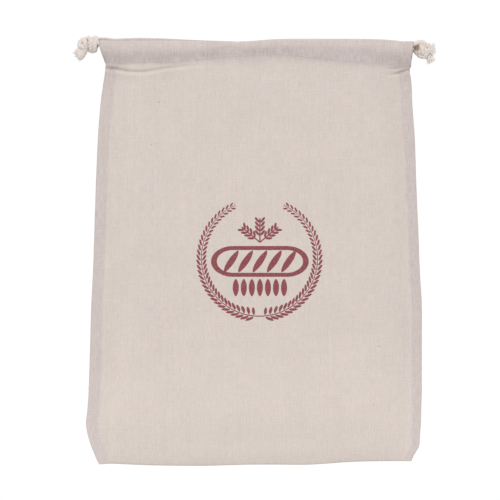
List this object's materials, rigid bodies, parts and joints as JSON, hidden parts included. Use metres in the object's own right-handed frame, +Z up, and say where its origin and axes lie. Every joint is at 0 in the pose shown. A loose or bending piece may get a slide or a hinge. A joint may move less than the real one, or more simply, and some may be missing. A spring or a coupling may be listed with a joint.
{
  "type": "linen drawstring bread bag",
  "caption": "Flat cloth bag with sewn sides, a folded foot and a drawstring channel round its mouth, the cords knotted at both corners.",
  "frame": {"origin": "under the middle of the whole bag, knots included, on the surface it lies on", "axes": "+Y from the foot to the mouth, +X to the right as the front is looked at, +Z up out of the front"},
  "size_m": [0.3413, 0.4019, 0.0172],
  "materials": {
    "linen": "plain woven unbleached linen and cotton, matt",
    "cotton_cord": "soft twisted cotton cord, fuzzy, matt"
  },
  "bodies": {
    "root": {"bag_body": "linen", "drawcord_front": "cotton_cord", "drawcord_back": "cotton_cord", "knot_left": "cotton_cord", "knot_right": "cotton_cord"}
  },
  "joints": []
}
